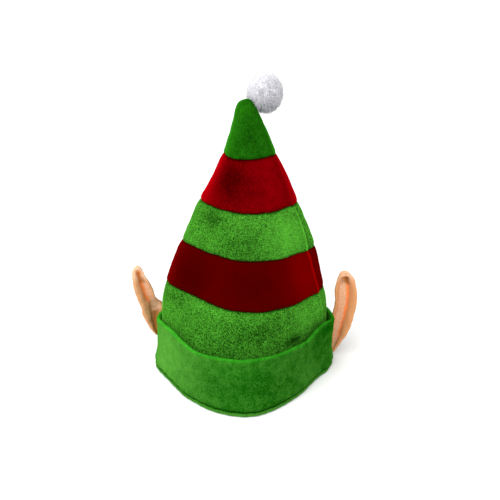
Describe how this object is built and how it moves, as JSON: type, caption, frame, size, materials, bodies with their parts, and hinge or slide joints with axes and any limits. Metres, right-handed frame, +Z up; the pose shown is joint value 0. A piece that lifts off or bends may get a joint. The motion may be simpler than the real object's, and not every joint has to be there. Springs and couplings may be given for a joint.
{
  "type": "elf hat",
  "caption": "Tall pointed cloth hat in red and green stripes with a turned-up cuff, a soft pointed ear on each side and a white pompom at the tip.",
  "frame": {"origin": "middle of the rim, on the surface the hat stands on", "axes": "+Z up to the tip, -Y the front that the picture shows, +X towards the right of the picture"},
  "size_m": [0.2331, 0.2125, 0.2984],
  "materials": {
    "dark_green_velour": "short pile, brushed",
    "green_velour": "short pile, speckled",
    "cuff_green_velour": "short pile, crushed in places",
    "red_velour": "short pile",
    "dark_red_velour": "short pile, smooth",
    "peach_plush": "soft nap",
    "white_fluff": "long fluffy pile"
  },
  "bodies": {
    "root": {"tip_panel": "dark_green_velour", "upper_red_stripe": "red_velour", "middle_green_stripe": "green_velour", "lower_red_stripe": "dark_red_velour", "base_green_panel": "green_velour", "cuff": "cuff_green_velour", "hem_roll": "dark_green_velour", "ear_left": "peach_plush", "ear_right": "peach_plush", "pompom": "white_fluff"}
  },
  "joints": []
}
